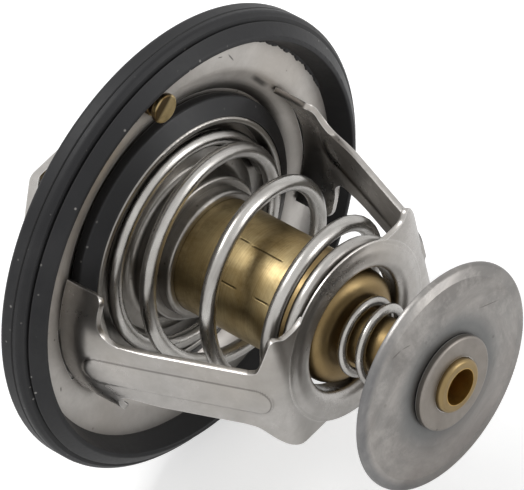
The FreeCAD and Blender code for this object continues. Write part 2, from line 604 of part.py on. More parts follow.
def make_piston_packing():
    revolved_piece("slip_disc", [
        (PISTON_END, "0"), (PISTON_END, "piston_radius"), (SLIP_END, "piston_radius"), (SLIP_END, "0"),
    ])
    body = revolved_piece("rubber_plunger", [
        (SLIP_END, "0"), (SLIP_END, "piston_radius"), (PLUNGER_END, "piston_radius"), (PLUNGER_END, "0"),
    ])
    rounded(body, "piston_radius / 10", ring_edge((PLUNGER_END, "piston_radius")), "Chamfer", "Size")


# Guide, with a flange held in the crimp and a wiper seal in its nose
def make_guide():
    flange_front = f"({CRIMP_FRONT} + crimp_lip)"
    flange_radius = f"({CRIMP_INSIDE} - press_gap)"
    body = revolved_piece("element_guide", [
        (GUIDE_NOSE, WIPER_RADIUS), (GUIDE_NOSE, GUIDE_RADIUS),
        (flange_front, GUIDE_RADIUS), (flange_front, flange_radius),
        (DIAPHRAGM_FRONT, flange_radius), (DIAPHRAGM_FRONT, BORE_RADIUS),
        (f"{GUIDE_NOSE} + wiper_depth", BORE_RADIUS), (f"{GUIDE_NOSE} + wiper_depth", WIPER_RADIUS),
    ])
    rounded(body, "guide_wall / 2", ring_edge((GUIDE_NOSE, GUIDE_RADIUS)), "Chamfer", "Size")
    revolved_piece("piston_wiper", [
        (f"{GUIDE_NOSE} + 0.3 * wiper_depth", BORE_RADIUS), (GUIDE_NOSE, "piston_radius + 0.7 * wiper_wall"),
        (f"{GUIDE_NOSE} + 0.2 * wiper_depth", f"{WIPER_RADIUS} - press_gap"),
        (f"{GUIDE_NOSE} + wiper_depth", f"{WIPER_RADIUS} - press_gap"), (f"{GUIDE_NOSE} + wiper_depth", BORE_RADIUS),
    ])


# Wax element: a deep brass cup, crimped at its mouth, with a tubular stem
def make_element_case():
    lip_radius = f"({CRIMP_INSIDE} - crimp_lip_width)"
    body = revolved_piece("element_case", [
        (CRIMP_FRONT, lip_radius), (CRIMP_FRONT, CRIMP_RADIUS), (FLOOR_FRONT, CRIMP_RADIUS),
        (FLOOR_FRONT, "case_radius"), ("case_end", "case_radius"), ("case_end", "stem_radius"),
        (STEM_END, "stem_radius"), (STEM_END, "stem_radius - stem_wall"),
        (f"{STEM_END} - stem_bore_depth", "stem_radius - stem_wall"), (f"{STEM_END} - stem_bore_depth - stem_wall", "0"),
        (WAX_END, "0"), (WAX_END, CORE_RADIUS), (DIAPHRAGM_BACK, CORE_RADIUS), (DIAPHRAGM_BACK, CRIMP_INSIDE),
        (f"{CRIMP_FRONT} + crimp_lip", CRIMP_INSIDE), (f"{CRIMP_FRONT} + crimp_lip", lip_radius),
    ])
    rounded(body, "case_round", ring_edge(("case_end", "case_radius")))
    rounded(body, "crimp_lip", ring_edge((CRIMP_FRONT, CRIMP_RADIUS)))
    rounded(body, "stem_round", ring_edge((STEM_END, "stem_radius")))
    rounded(body, "1.5 * case_wall", ring_edge((WAX_END, CORE_RADIUS)))


def make_element_filling():
    body = revolved_piece("wax_charge", [
        (DIAPHRAGM_BACK, "0"), (WAX_END, "0"), (WAX_END, f"{CORE_RADIUS} - press_gap"),
        (DIAPHRAGM_BACK, f"{CORE_RADIUS} - press_gap"),
    ])
    rounded(body, "1.5 * case_wall", ring_edge((WAX_END, f"{CORE_RADIUS} - press_gap")))
    edge = f"{CRIMP_INSIDE} - press_gap"
    revolved_piece("diaphragm", [
        (DIAPHRAGM_FRONT, "0"), (DIAPHRAGM_BACK, "0"), (DIAPHRAGM_BACK, edge), (DIAPHRAGM_FRONT, edge),
    ])


# Valve plate: a shallow cup that carries the spring and the rubber ring
def make_valve_plate():
    top = f"({FLOOR_FRONT} + plate_rim)"
    body = revolved_piece("valve_plate", [
        (FLOOR_FRONT, CASE_HOLE), (FLOOR_BACK, CASE_HOLE), (FLOOR_BACK, PLATE_INSIDE), (top, PLATE_INSIDE),
        (top, PLATE_RADIUS), (FLOOR_FRONT, PLATE_RADIUS),
    ])
    rounded(body, "plate_sheet", ring_edge((FLOOR_FRONT, PLATE_RADIUS)))
    rounded(body, "plate_sheet / 3", ring_edge((top, PLATE_RADIUS), (top, PLATE_INSIDE)))

    front = f"({SEAT} + seat_gap)"
    ring = revolved_piece("valve_seal", [
        (front, f"{PLATE_RADIUS} + press_gap"), (front, SEAL_RADIUS),
        (f"{front} + seal_edge", SEAL_RADIUS), (f"{front} + seal_height", f"{PLATE_RADIUS} + press_gap"),
    ])
    rounded(ring, "seal_edge / 4", ring_edge((front, SEAL_RADIUS), (f"{front} + seal_edge", SEAL_RADIUS)))


# Collar: a stepped steel cap pressed on the element, holding the plate
def make_valve_collar():
    step = f"({FLOOR_BACK} + collar_neck)"
    lip = f"({FLOOR_BACK} + collar_lip)"
    lip_radius = "(case_radius + collar_sheet)"
    body = revolved_piece("valve_collar", [
        (FLOOR_BACK, f"{COLLAR_NECK_RADIUS} - collar_sheet"), (FLOOR_BACK, COLLAR_BASE),
        (f"{FLOOR_BACK} + collar_sheet", COLLAR_BASE),
        (f"{FLOOR_BACK} + collar_sheet", COLLAR_NECK_RADIUS), (step, COLLAR_NECK_RADIUS),
        (step, lip_radius), (lip, lip_radius), (lip, CASE_HOLE),
        (f"{step} - collar_sheet", CASE_HOLE), (f"{step} - collar_sheet", f"{COLLAR_NECK_RADIUS} - collar_sheet"),
    ])
    rounded(body, "collar_sheet / 2", ring_edge((step, COLLAR_NECK_RADIUS), (lip, lip_radius)))
    root = f"0.4 * ({COLLAR_BASE} - {COLLAR_NECK_RADIUS})"
    rounded(body, root, ring_edge((f"{FLOOR_BACK} + collar_sheet", COLLAR_NECK_RADIUS)))


# Bypass disc and the washer riveted on the stem behind it
def make_bypass_disc():
    hole = "(stem_radius + disc_play)"
    body = revolved_piece("bypass_disc", [
        (DISC_FRONT, hole), (DISC_BACK, hole), (DISC_BACK, "disc_flat_radius"),
        (f"{DISC_BACK} - disc_drop", "disc_radius"), (f"{DISC_FRONT} - disc_drop", "disc_radius"),
        (DISC_FRONT, "disc_flat_radius"),
    ])
    rim = ring_edge((f"{DISC_BACK} - disc_drop", "disc_radius"), (f"{DISC_FRONT} - disc_drop", "disc_radius"))
    rounded(body, "disc_rim_round", rim)
    washer = revolved_piece("retaining_washer", [
        (WASHER_FRONT, "stem_radius + press_gap"), (WASHER_BACK, "stem_radius + press_gap"),
        (WASHER_BACK, "stem_radius + washer_width"), (WASHER_FRONT, "stem_radius + washer_width"),
    ])
    rounded(washer, "washer_sheet / 3", ring_edge((WASHER_BACK, "stem_radius + washer_width")))


# Jiggle pin, loose in its hole, turned about its own axis and then set in place
def make_jiggle_pin():
    body = new_body("jiggle_pin")
    weight = f"({FLANGE_FRONT} - pin_travel)"
    collar_top = f"({PIN_HEAD} + pin_collar)"
    neck_top = f"({collar_top} + pin_neck)"
    head_top = f"({neck_top} + pin_head)"
    sketch = outline(body, "pin_section", "XY_Plane", [
        (head_top, "0"), (head_top, "pin_head_radius"),
        (neck_top, "pin_head_radius"), (neck_top, "pin_neck_radius"),
        (collar_top, "pin_neck_radius"), (collar_top, "pin_collar_radius"),
        (PIN_HEAD, "pin_collar_radius"), (PIN_HEAD, "pin_shank_radius"),
        (weight, "pin_shank_radius"), (weight, "pin_weight_radius"),
        (f"{weight} - pin_weight_radius", "pin_weight_radius"), (f"{weight} - pin_weight_radius", "0"),
    ])
    turned(body, sketch)
    rounded(body, "pin_head / 3", ring_edge((head_top, "pin_head_radius"), (neck_top, "pin_head_radius")))
    rounded(body, "pin_collar / 3", ring_edge((collar_top, "pin_collar_radius")))
    rounded(body, "pin_weight_radius / 3", ring_edge((weight, "pin_weight_radius"), (f"{weight} - pin_weight_radius", "pin_weight_radius")))
    body.setExpression("Placement.Base.y", bound(f"{PIN_PLACE} * cos(pin_angle * 1 deg)"))
    body.setExpression("Placement.Base.z", bound(f"{PIN_PLACE} * sin(pin_angle * 1 deg)"))


def spring_path(start, end, radii, turns, closed, phase, wire, growth=0, taper=1):
    """Centre line of a spring, closed at its ends, with a pitch that may grow in between."""
    first, last = closed
    closed_pitch = 1.04 * wire
    open_start = start + closed_pitch * first
    open_end = end - closed_pitch * last
    count = math.ceil(turns * 16)
    points = []
    for step in range(count + 1):
        turn = turns * step / count
        if turn < first:
            along = start + closed_pitch * turn
        elif turn > turns - last:
            along = end - closed_pitch * (turns - turn)
        else:
            part = (turn - first) / (turns - first - last)
            part = (part + growth * part ** 2) / (1 + growth)
            along = open_start + (open_end - open_start) * part
        radius = radii[1] + (radii[0] - radii[1]) * (1 - turn / turns) ** taper
        angle = math.radians(phase) + 2 * math.pi * turn
        points.append(FreeCAD.Vector(along, radius * math.cos(angle), radius * math.sin(angle)))
    return points


def wound(label, points, wire):
    curve = Part.BSplineCurve()
    curve.interpolate(points)
    path = Part.Wire([curve.toShape()])
    start = curve.value(curve.FirstParameter)
    ahead = curve.tangent(curve.FirstParameter)[0]
    profile = Part.Wire([Part.makeCircle(wire / 2, start, ahead)])
    piece = doc.addObject("Part::Feature", label)
    piece.Label = label
    piece.Shape = path.makePipeShell([profile], True, True)
    piece.Placement = FreeCAD.Placement()
    ratio = piece.Shape.Volume / (math.pi * (wire / 2) ** 2 * path.Length)
    print(f"{label}: volume is {ratio:.4f} of section times length")


def make_springs():
    wire = value("spring_wire")
    seats = value(f"{FLOOR_BACK} + spring_gap + spring_wire / 2"), value(f"{RING_BACK} - spring_gap - spring_wire / 2")
    closed = value("spring_first_turns"), value("spring_last_turns")
    points = spring_path(
        *seats, (value(SPRING_BASE), value(SPRING_TOP)), value("spring_turns"), closed,
        value("spring_phase"), wire, value("spring_growth"), value("spring_taper"))
    wound("main_spring", points, wire)
    wire = value("bypass_wire")
    seats = value("case_end + spring_gap + bypass_wire / 2"), value(f"{DISC_FRONT} - spring_gap - bypass_wire / 2")
    radius = value("stem_radius + bypass_room + bypass_wire / 2")
    closed = value("bypass_end_turns"), value("bypass_end_turns")
    points = spring_path(
        *seats, (radius, radius), value("bypass_turns"), closed, value("bypass_phase"), wire)
    wound("bypass_spring", points, wire)


make_rim_seal()
make_flange()
make_lower_frame()
make_front_bridge()
make_piston()
make_piston_packing()
make_guide()
make_element_case()
make_element_filling()
make_valve_plate()
make_valve_collar()
make_bypass_disc()
make_jiggle_pin()
make_springs()
doc.recompute()

# Every object must have come out sound before anything is written
for item in doc.Objects:
    if "Invalid" in item.State or "Error" in item.State:
        raise RuntimeError(f"{item.Label} did not build")
pieces = [item for item in doc.Objects if item.TypeId in ("PartDesign::Body", "Part::Feature")]
for piece in pieces:
    if piece.Label == "frame_plan":
        continue
    if piece.Shape.isNull() or not piece.Shape.isValid():
        raise RuntimeError(f"{piece.Label} has no sound shape")
    piece.Shape.exportStep(f"parts/{piece.Label}.step")
    print(piece.Label, len(piece.Shape.Solids), round(piece.Shape.Volume, 2))
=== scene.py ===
import math

import bmesh
import bpy
from mathutils import Matrix, Vector


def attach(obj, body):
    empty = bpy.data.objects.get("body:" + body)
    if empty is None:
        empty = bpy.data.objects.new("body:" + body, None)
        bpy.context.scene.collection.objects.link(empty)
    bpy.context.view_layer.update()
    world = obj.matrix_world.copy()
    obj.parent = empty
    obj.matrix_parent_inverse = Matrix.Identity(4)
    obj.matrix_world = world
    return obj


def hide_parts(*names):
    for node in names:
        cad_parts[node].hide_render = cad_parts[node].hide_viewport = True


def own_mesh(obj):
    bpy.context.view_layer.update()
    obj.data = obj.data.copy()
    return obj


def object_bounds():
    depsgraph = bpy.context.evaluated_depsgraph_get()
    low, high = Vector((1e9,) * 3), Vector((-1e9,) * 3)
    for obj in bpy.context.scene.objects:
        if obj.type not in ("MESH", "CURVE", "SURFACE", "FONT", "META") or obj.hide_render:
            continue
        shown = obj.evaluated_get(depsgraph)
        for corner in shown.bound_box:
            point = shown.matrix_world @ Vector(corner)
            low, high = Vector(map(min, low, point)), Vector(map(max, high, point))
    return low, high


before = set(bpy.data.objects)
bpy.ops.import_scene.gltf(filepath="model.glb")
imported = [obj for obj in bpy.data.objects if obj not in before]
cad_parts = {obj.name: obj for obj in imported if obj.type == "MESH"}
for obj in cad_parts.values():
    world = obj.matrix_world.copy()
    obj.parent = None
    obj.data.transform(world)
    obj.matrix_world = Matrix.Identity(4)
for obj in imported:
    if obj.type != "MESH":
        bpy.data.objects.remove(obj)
cad_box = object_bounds()

# The colour sockets of a Mix node
MIX_FIRST, MIX_SECOND, MIX_RESULT = 6, 7, 2


# Node graph helpers
class Graph:
    """A material's nodes, with a call for each pattern that the materials share. Lengths are in metres."""

    def __init__(self, name):
        self.material = bpy.data.materials.new(name)
        self.material.use_nodes = True
        self.nodes = self.material.node_tree.nodes
        self.links = self.material.node_tree.links
        self.shader = self.nodes["Principled BSDF"]
        self.place = self.nodes.new("ShaderNodeTexCoord").outputs["Object"]

    def join(self, source, socket):
        if hasattr(source, "is_linked"):
            self.links.new(source, socket)
        else:
            socket.default_value = source

    def noise(self, scale, detail=4, rough=0.55, place=None, distort=0):
        node = self.nodes.new("ShaderNodeTexNoise")
        node.inputs["Scale"].default_value = scale
        node.inputs["Detail"].default_value = detail
        node.inputs["Roughness"].default_value = rough
        node.inputs["Distortion"].default_value = distort
        self.links.new(place or self.place, node.inputs["Vector"])
        return node.outputs["Fac"]

    def scaled(self, amounts):
        node = self.nodes.new("ShaderNodeMapping")
        node.inputs["Scale"].default_value = amounts
        self.links.new(self.place, node.inputs["Vector"])
        return node.outputs["Vector"]

    def spots(self, scale, low, high):
        """Scattered spots, full up to the low distance from their middle and gone at the high one."""
        node = self.nodes.new("ShaderNodeTexVoronoi")
        node.inputs["Scale"].default_value = scale
        self.links.new(self.place, node.inputs["Vector"])
        return self.ramp(node.outputs["Distance"], (low, 1), (high, 0))

    def ramp(self, source, *stops):
        """A straight run between two stops, each (value in, value out), level beyond them."""
        node = self.nodes.new("ShaderNodeMapRange")
        node.clamp = True
        self.links.new(source, node.inputs["Value"])
        (low, first), (high, last) = stops
        node.inputs["From Min"].default_value = low
        node.inputs["From Max"].default_value = high
        node.inputs["To Min"].default_value = first
        node.inputs["To Max"].default_value = last
        return node.outputs["Result"]

    def math(self, kind, first, second=0.0):
        node = self.nodes.new("ShaderNodeMath")
        node.operation = kind
        self.join(first, node.inputs[0])
        self.join(second, node.inputs[1])
        return node.outputs[0]

    def times(self, first, second):
        return self.math("MULTIPLY", first, second)

    def less(self, first, second):
        return self.math("SUBTRACT", first, second)

    def blended(self, first, share, second):
        """A share of the first pattern and the rest of the second."""
        return self.math("ADD", self.times(first, share), self.times(second, 1 - share))

    def mix(self, factor, first, second):
        node = self.nodes.new("ShaderNodeMix")
        node.data_type = "RGBA"
        self.join(factor, node.inputs["Factor"])
        self.join(colour(first), node.inputs[MIX_FIRST])
        self.join(colour(second), node.inputs[MIX_SECOND])
        return node.outputs[MIX_RESULT]

    def bump(self, height, strength, distance, under=None):
        node = self.nodes.new("ShaderNodeBump")
        node.inputs["Strength"].default_value = strength
        node.inputs["Distance"].default_value = distance
        self.links.new(height, node.inputs["Height"])
        if under:
            self.links.new(under, node.inputs["Normal"])
        return node.outputs["Normal"]

    def axes(self):
        node = self.nodes.new("ShaderNodeSeparateXYZ")
        self.links.new(self.place, node.inputs["Vector"])
        return node.outputs

    def around(self):
        """The radius from the axis and the angle round it."""
        _, y, z = self.axes()
        radius = self.math("SQRT", self.math("ADD", self.times(y, y), self.times(z, z)))
        return radius, self.math("ARCTAN2", z, y)

    def polar(self, along):
        """Coordinates that stretch a pattern round the axis, so that it runs in rings."""
        x, _, _ = self.axes()
        radius, angle = self.around()
        node = self.nodes.new("ShaderNodeCombineXYZ")
        for source, socket in zip((x, radius, self.times(angle, along)), node.inputs):
            self.links.new(source, socket)
        return node.outputs[0]

    def scratch(self, start, end, width):
        """A straight scratch between two places, each (y, z)."""
        _, y, z = self.axes()
        run = math.dist(start, end)
        ahead = ((end[0] - start[0]) / run, (end[1] - start[1]) / run)
        dy, dz = self.less(y, start[0]), self.less(z, start[1])
        along = self.math("ADD", self.times(dy, ahead[0]), self.times(dz, ahead[1]))
        across = self.less(self.times(dz, ahead[0]), self.times(dy, ahead[1]))
        thin = self.ramp(self.math("ABSOLUTE", across), (0.3 * width, 1), (width, 0))
        fade_in = self.ramp(along, (0, 0), (0.3 * run, 1))
        fade_out = self.ramp(along, (0.7 * run, 1), (run, 0))
        return self.times(thin, self.times(fade_in, fade_out))

    def edges(self, distance):
        """How near a sharp edge a point lies, from the bent normal."""
        node = self.nodes.new("ShaderNodeBevel")
        node.samples = 4
        node.inputs["Radius"].default_value = distance
        geometry = self.nodes.new("ShaderNodeNewGeometry")
        dot = self.nodes.new("ShaderNodeVectorMath")
        dot.operation = "DOT_PRODUCT"
        self.links.new(node.outputs["Normal"], dot.inputs[0])
        self.links.new(geometry.outputs["Normal"], dot.inputs[1])
        return self.ramp(self.less(1.0, dot.outputs["Value"]), (0.02, 0), (0.2, 1))

    def painted_hollow_shade(self, base, distance, amount, hollow_shade):
        """The base darkened in its corners and gaps by ambient occlusion, as painted shade."""
        node = self.nodes.new("ShaderNodeAmbientOcclusion")
        node.samples = 8
        node.inputs["Distance"].default_value = distance
        hollow = self.ramp(node.outputs["AO"], (0.35, 1), (0.95, 0))
        return self.mix(self.times(hollow, amount), base, hollow_shade)

    def finish(self, base, rough, normal, metal=1.0, specular=None):
        self.join(base, self.shader.inputs["Base Color"])
        self.join(rough, self.shader.inputs["Roughness"])
        self.join(normal, self.shader.inputs["Normal"])
        self.join(metal, self.shader.inputs["Metallic"])
        if specular is not None:
            self.join(specular, self.shader.inputs["Specular IOR Level"])
        return self.material


def colour(item):
    """A plain colour gets its alpha, and a socket stays as it is."""
    return (*item, 1.0) if isinstance(item, tuple) else item


def shaded(base, amount):
    return tuple(amount * part for part in base)


# Materials
def zinc_sheet(name, light, dark, rough, marks=(), rib=None, edge=0.75):
    """Pressed steel with a pale grey film, cloudy stains, dark specks and a few marks, painted shade in its
    hollows, a painted highlight on its edges and a painted shade line round a rib.
    """
    warm, hollow_shade, speckle = (0.45, 0.40, 0.34), (0.07, 0.06, 0.05), (0.05, 0.045, 0.04)
    scored, crease_shade, bare_edge_glint = (0.06, 0.055, 0.05), (0.07, 0.065, 0.06), (0.80, 0.79, 0.77)
    g = Graph(name)
    cloud = g.noise(90, 6, 0.6, distort=0.4)
    fine = g.noise(900, 6, 0.7)
    base = g.mix(g.ramp(cloud, (0.35, 0), (0.7, 1)), light, dark)
    mottle = g.ramp(g.noise(420, 5, 0.75), (0.42, 0), (0.68, 0.5))
    base = g.mix(mottle, base, dark)
    base = g.mix(g.ramp(g.noise(55, 3), (0.45, 0), (0.75, 0.35)), base, warm)
    # painted shade in corners and gaps, from ambient occlusion
    base = g.painted_hollow_shade(base, 0.002, 0.6, hollow_shade)
    speck = g.times(g.spots(420, 0.05, 0.10), g.ramp(g.noise(140, 2), (0.55, 0), (0.62, 0.6)))
    base = g.mix(speck, base, speckle)
    # bare sheared edges, lightened further by a painted highlight
    base = g.mix(g.times(g.edges(0.0003), edge), base, bare_edge_glint)
    for start, end, width in marks:
        base = g.mix(g.times(g.scratch(start, end, width), 0.8), base, scored)
    if rib:
        # painted shade: the thin dark line in the crease pressed round the rib of each leg, pointed towards
        # the ear
        low, high, half = rib
        x, _, z = g.axes()
        beyond = g.math("MAXIMUM", g.times(g.less(x, high), 1.35), g.less(low, x))
        beyond = g.math("MAXIMUM", beyond, 0.0)
        away = g.math("SQRT", g.math("ADD", g.times(beyond, beyond), g.times(z, z)))
        line = g.ramp(g.math("ABSOLUTE", g.less(away, half)), (0.00004, 0.55), (0.00013, 0))
        base = g.mix(line, base, crease_shade)
    roughness = g.ramp(g.blended(cloud, 0.6, fine), (0.3, rough[0]), (0.7, rough[1]))
    normal = g.bump(fine, 0.25, 0.00006)
    normal = g.bump(g.noise(260, 4), 0.25, 0.0001, normal)
    return g.finish(base, roughness, normal)


def spring_wire():
    """Drawn steel wire with streaks along it and a few dark scuffs."""
    light, dark = (0.50, 0.485, 0.46), (0.34, 0.325, 0.305)
    streak, scuffed, hollow_shade = (0.22, 0.205, 0.19), (0.14, 0.125, 0.11), (0.05, 0.045, 0.04)
    g = Graph("spring wire")
    cloud = g.noise(110, 5, 0.6)
    base = g.mix(g.ramp(cloud, (0.4, 0), (0.7, 1)), light, dark)
    streaks = g.noise(1300, 2, 0.5, place=g.polar(0.0015))
    base = g.mix(g.ramp(streaks, (0.48, 0), (0.70, 0.4)), base, streak)
    scuff = g.ramp(g.noise(420, 5, 0.7), (0.66, 0), (0.76, 0.5))
    base = g.mix(scuff, base, scuffed)
    # painted shade in corners and gaps, from ambient occlusion
    base = g.painted_hollow_shade(base, 0.0015, 0.65, hollow_shade)
    rough = g.ramp(g.blended(cloud, 0.4, streaks), (0.35, 0.22), (0.7, 0.38))
    normal = g.bump(streaks, 0.06, 0.00004)
    normal = g.bump(g.noise(1400, 4), 0.05, 0.00004, normal)
    return g.finish(base, rough, normal)


def brass(name, light, dark, turned=True, scores=(), dull_from=None, flank=None):
    """Satin brass with a patina, which may have turning lines, scores, a duller part with a painted amber
    glow in its bore, or a painted shadow band across.
    """
    patina, turning, hollow_shade = (0.17, 0.115, 0.045), (0.15, 0.10, 0.04), (0.10, 0.065, 0.025)
    scored, band_shade_colour = (0.05, 0.035, 0.015), (0.055, 0.032, 0.012)
    dull_brass, bore_glow_pale, bore_glow_deep = (0.225, 0.155, 0.07), (0.62, 0.40, 0.11), (0.36, 0.21, 0.05)
    g = Graph(name)
    x, y, z = g.axes()
    radius, angle = g.around()
    cloud = g.noise(95, 6, 0.65, distort=0.6)
    base = g.mix(g.ramp(cloud, (0.38, 0), (0.68, 1)), light, dark)
    blotch = g.ramp(g.noise(260, 6, 0.75), (0.50, 0), (0.68, 0.6))
    base = g.mix(blotch, base, patina)
    pitted = g.noise(700, 5, 0.7)
    rough = g.ramp(g.blended(cloud, 0.7, pitted), (0.3, 0.30), (0.7, 0.48))
    normal = g.bump(pitted, 0.28, 0.00008)
    normal = g.bump(g.noise(240, 4), 0.25, 0.00015, normal)
    if turned:
        lines = g.noise(1.0, 2, 0.6, place=g.scaled((5200, 40, 40)))
        base = g.mix(g.ramp(lines, (0.45, 0), (0.7, 0.3)), base, turning)
        normal = g.bump(lines, 0.10, 0.00004, normal)
    for start, end, place in scores:
        thin = g.ramp(g.math("ABSOLUTE", g.less(angle, math.radians(place))), (0.008, 1), (0.022, 0))
        fade_in = g.ramp(x, (start, 0), (start + 0.0006, 1))
        fade_out = g.ramp(x, (end - 0.0006, 1), (end, 0))
        dash = g.times(thin, g.times(fade_in, fade_out))
        base = g.mix(g.times(dash, 0.85), base, scored)
        normal = g.bump(g.times(dash, -1.0), 0.6, 0.0001, normal)
    # painted shade in corners and gaps, from ambient occlusion
    base = g.painted_hollow_shade(base, 0.002, 0.6, hollow_shade)
    if dull_from:
        # the dome and the stem are duller, and the stem's bore is painted amber as a glow of light
        # reflected inside it
        base = g.mix(g.ramp(x, (dull_from, 0), (dull_from + 0.0008, 0.75)), base, dull_brass)
        inside = g.ramp(radius, (0.00262, 1), (0.00272, 0))
        bore_glow = g.times(g.ramp(x, (dull_from - 0.003, 0), (dull_from, 1)), inside)
        base = g.mix(bore_glow, base, g.mix(g.ramp(cloud, (0.4, 0), (0.6, 1)), bore_glow_pale, bore_glow_deep))
    if flank:
        # a painted shadow band across the head, dark brown, with a pale edge beyond it
        across = g.less(g.less(g.times(z, 0.87), g.times(y, 0.5)), flank)
        near, far = g.ramp(across, (-0.0003, 0), (0.0002, 0.92)), g.ramp(across, (0.0013, 1), (0.0016, 0))
        shadow_band = g.times(near, far)
        base = g.mix(shadow_band, base, band_shade_colour)
    return g.finish(base, rough, normal)


def rubber(name, base=(0.009, 0.009, 0.010), dust=0.6, rough=(0.40, 0.56)):
    """Moulded rubber with pale dust specks and a soft sheen."""
    dusty, pale_speck, hollow_shade = (0.14, 0.135, 0.13), (0.55, 0.53, 0.50), (0.003, 0.003, 0.003)
    g = Graph(name)
    cloud = g.noise(70, 5, 0.6)
    tone = g.mix(g.ramp(cloud, (0.35, 0), (0.7, 1)), base, shaded(base, 1.7))
    film = g.times(g.ramp(g.noise(38, 5, 0.7), (0.5, 0), (0.72, 1)), 0.2 * dust)
    tone = g.mix(film, tone, dusty)
    seen = g.ramp(g.noise(120, 2), (0.50, 0), (0.56, 1))
    speck = g.times(g.spots(520, 0.05, 0.12), seen)
    tone = g.mix(g.times(speck, dust), tone, pale_speck)
    tone = g.mix(g.times(g.edges(0.0004), 0.25 * dust), tone, dusty)
    # painted shade in corners and gaps, from ambient occlusion
    tone = g.painted_hollow_shade(tone, 0.0012, 0.8, hollow_shade)
    fine = g.noise(1500, 4, 0.7)
    roughness = g.ramp(g.blended(cloud, 0.5, fine), (0.3, rough[0]), (0.7, rough[1]))
    normal = g.bump(fine, 0.15, 0.00005)
    normal = g.bump(g.noise(180, 4), 0.2, 0.00012, normal)
    return g.finish(tone, roughness, normal, metal=0.0, specular=0.32)


def disc_steel():
    """Dull steel disc with a patina in soft rings, a darker middle, hairline scratches and painted shade on
    one side of its rolled rim.
    """
    light, dark, ringed = (0.46, 0.435, 0.41), (0.235, 0.222, 0.21), (0.19, 0.19, 0.185)
    blue_grey, brown, rim_shade_colour = (0.15, 0.155, 0.155), (0.19, 0.165, 0.15), (0.09, 0.10, 0.115)
    scored, speckle, hollow_shade = (0.10, 0.09, 0.08), (0.09, 0.08, 0.075), (0.05, 0.05, 0.05)
    g = Graph("disc steel")
    _, y, z = g.axes()
    radius, _ = g.around()
    cloud = g.noise(70, 7, 0.65, distort=0.8)
    base = g.mix(g.ramp(cloud, (0.34, 0), (0.66, 1)), light, dark)
    rings = g.noise(260, 4, 0.6, place=g.polar(0.006))
    base = g.mix(g.ramp(rings, (0.42, 0), (0.7, 0.5)), base, ringed)
    film = g.ramp(g.noise(300, 6, 0.75), (0.5, 0), (0.68, 0.5))
    base = g.mix(film, base, light)
    # a darker blue grey zone round the washer, a brown bloom below it, and painted shade darkening one side
    # of the rolled rim
    zone = g.ramp(g.math("ADD", radius, g.times(cloud, 0.003)), (0.0098, 0.8), (0.0125, 0))
    base = g.mix(zone, base, blue_grey)
    bloom = g.ramp(g.math("ADD", z, g.times(g.noise(140, 5, 0.7), 0.012)), (-0.008, 0.6), (0.004, 0))
    base = g.mix(bloom, base, brown)
    # painted shade on the rolled rim's side towards negative y
    rim = g.times(g.ramp(radius, (0.0148, 0), (0.0156, 1)), g.ramp(y, (-0.012, 0.5), (-0.001, 0)))
    base = g.mix(rim, base, rim_shade_colour)
    for start, end, width in DISC_SCRATCHES:
        base = g.mix(g.times(g.scratch(start, end, width), 0.7), base, scored)
    specks = g.ramp(g.noise(90, 2), (0.5, 0), (0.6, 0.7))
    base = g.mix(g.times(g.spots(300, 0.05, 0.10), specks), base, speckle)
    # painted shade in corners and gaps, from ambient occlusion
    base = g.painted_hollow_shade(base, 0.002, 0.75, hollow_shade)
    rough = g.ramp(g.blended(cloud, 0.6, film), (0.2, 0.34), (0.8, 0.54))
    normal = g.bump(g.ramp(radius, (0.0146, 1), (0.0164, 0)), 1.0, 0.0009)
    normal = g.bump(g.noise(2600, 2, 0.6, place=g.polar(0.0004)), 0.06, 0.00005, normal)
    normal = g.bump(g.noise(520, 6, 0.7), 0.28, 0.00008, normal)
    return g.finish(base, rough, normal)


def plain(name, base, rough, metal=0.0):
    """A lightly clouded material for the pieces inside."""
    g = Graph(name)
    cloud = g.noise(300, 4)
    tone = g.mix(g.ramp(cloud, (0.35, 0), (0.7, 0.3)), base, shaded(base, 0.6))
    roughness = g.ramp(cloud, (0.3, rough), (0.7, rough + 0.1))
    return g.finish(tone, roughness, g.bump(cloud, 0.1, 0.00005), metal)


# Marks on the object: element scores as (start, end, degrees), others as ((y, z), (y, z), width)
CASE_SCORES = (
    (0.0127, 0.0150, 94.5), (0.0152, 0.0209, 95.5), (0.0134, 0.0167, 138.7), (0.0195, 0.0224, 137.8),
)
DISC_SCRATCHES = (
    ((0.0076, 0.00685), (0.01204, 0.00426), 9e-05),
    ((-0.00804, 0.0116), (-0.00612, 0.01175), 0.00014),
    ((-0.00612, 0.01175), (-0.00443, 0.01129), 0.0001),
)
FLANGE_MARKS = (
    ((0.01496, 0.0227), (0.01565, 0.02073), 0.00014),
    ((0.0140, 0.0230), (0.0131, 0.0236), 0.00012),
    ((-0.0266, -0.0043), (-0.0268, -0.0052), 0.00016),
    ((0.01799, 0.01571), (0.02047, 0.01112), 0.0005),
)
# The painted shade line round a rib: where its straight sides start and end along the axis, and its half
# width
RIB_SHADE_LINE = (0.0065, 0.0282, 0.0023)
# Where the element's brass turns duller along the axis, and where the painted shadow band on the pin's head
# lies
DULL_FROM, PIN_SHADE_BAND = 0.0224, 0.0230

